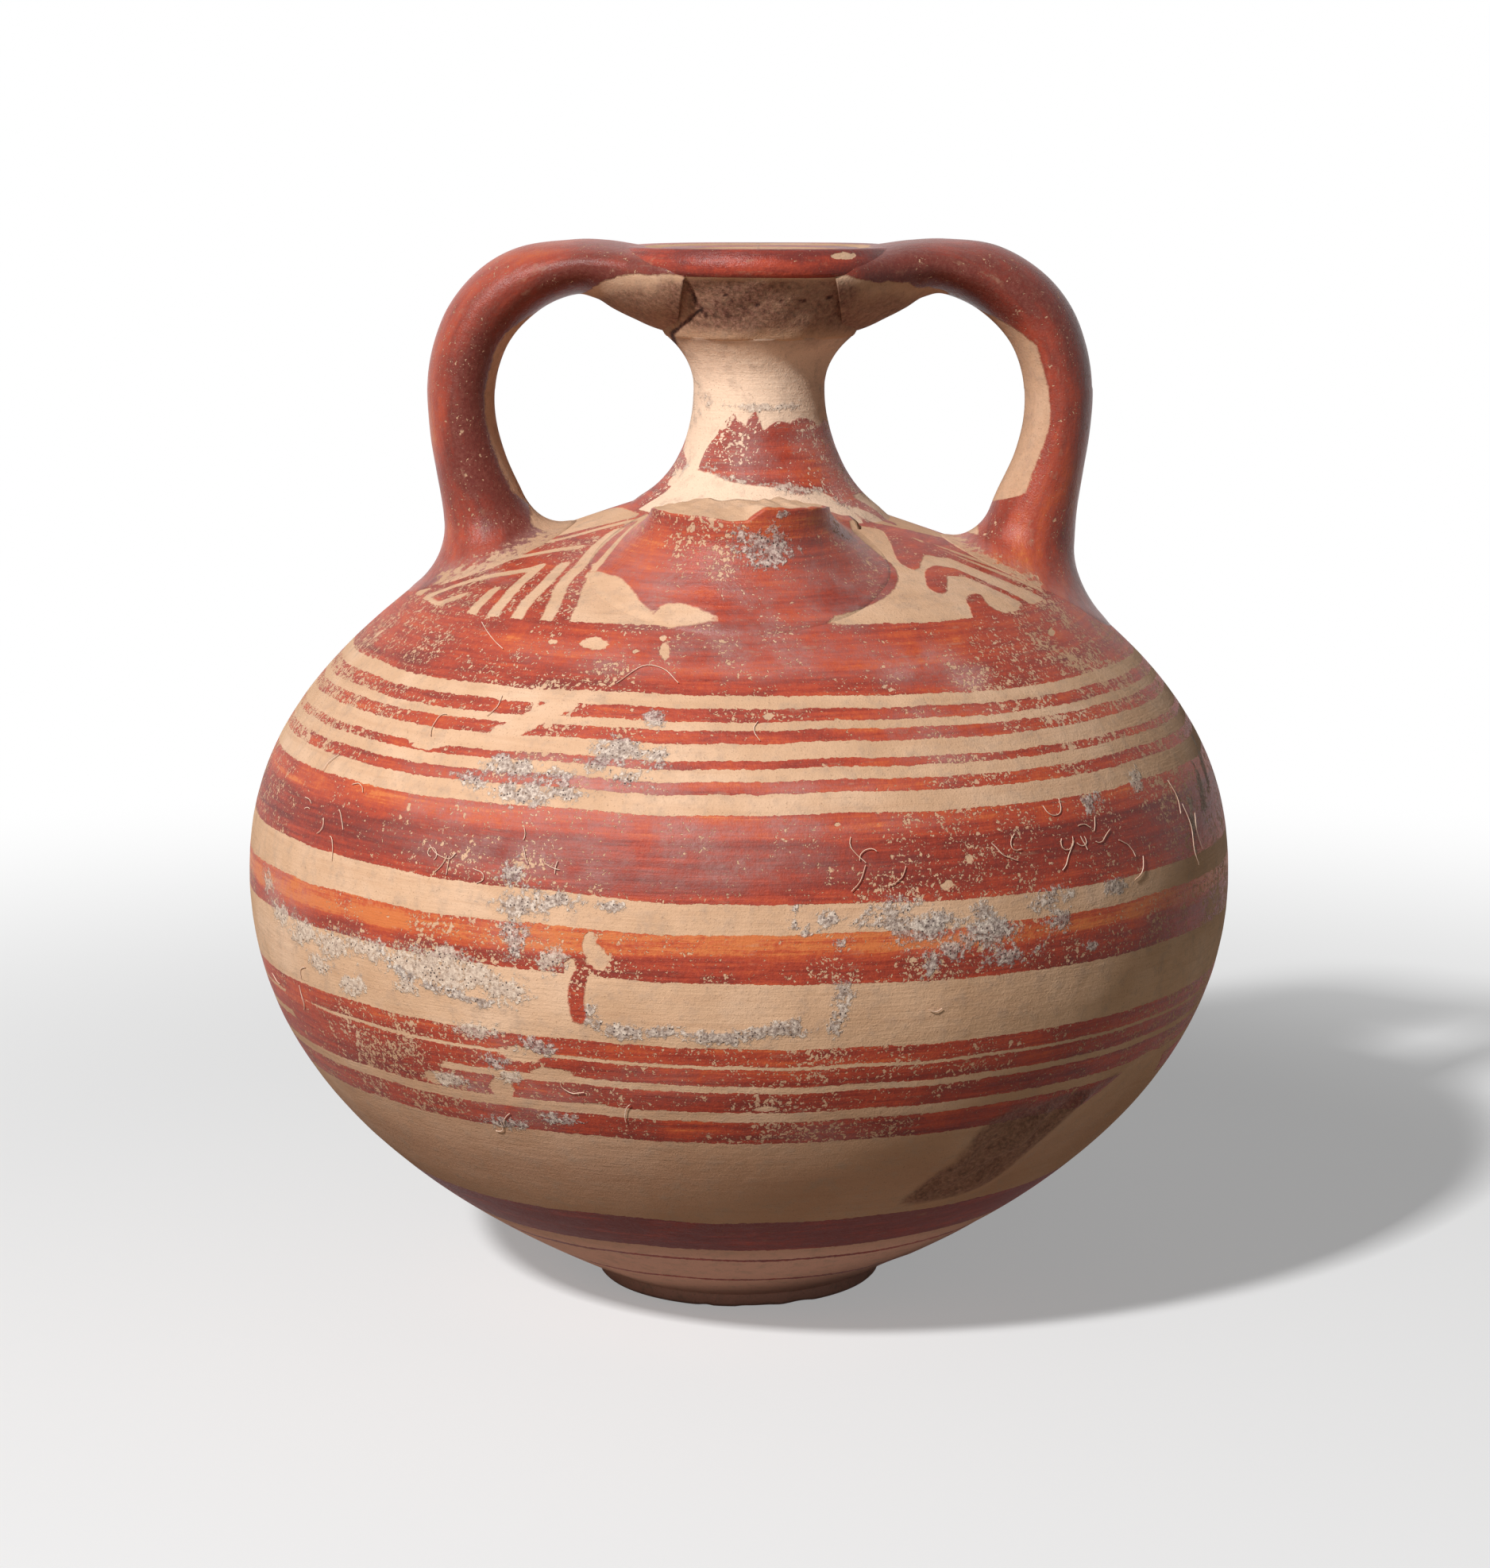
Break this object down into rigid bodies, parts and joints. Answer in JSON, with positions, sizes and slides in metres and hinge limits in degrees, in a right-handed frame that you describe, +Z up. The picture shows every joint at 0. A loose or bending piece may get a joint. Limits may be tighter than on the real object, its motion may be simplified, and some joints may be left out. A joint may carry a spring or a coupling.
{
  "type": "stirrup jar",
  "caption": "Small closed oil jar with a false neck, two strap handles that meet at a disc, and a short spout stump.",
  "frame": {"origin": "middle of the foot, on the surface that the jar stands on", "axes": "+Z up, -Y towards the spout at the front, +X to the right as seen from the front"},
  "size_m": [0.1034, 0.1034, 0.11],
  "materials": {
    "buff_clay": "smoothed fired clay, matt",
    "red_slip": "burnished iron-red slip, low sheen",
    "banded_clay": "smoothed clay with painted red bands"
  },
  "bodies": {
    "root": {"body": "banded_clay", "foot_ring": "buff_clay", "false_neck": "banded_clay", "disc": "red_slip", "left_handle": "red_slip", "right_handle": "red_slip", "spout_stump": "red_slip"}
  },
  "joints": []
}
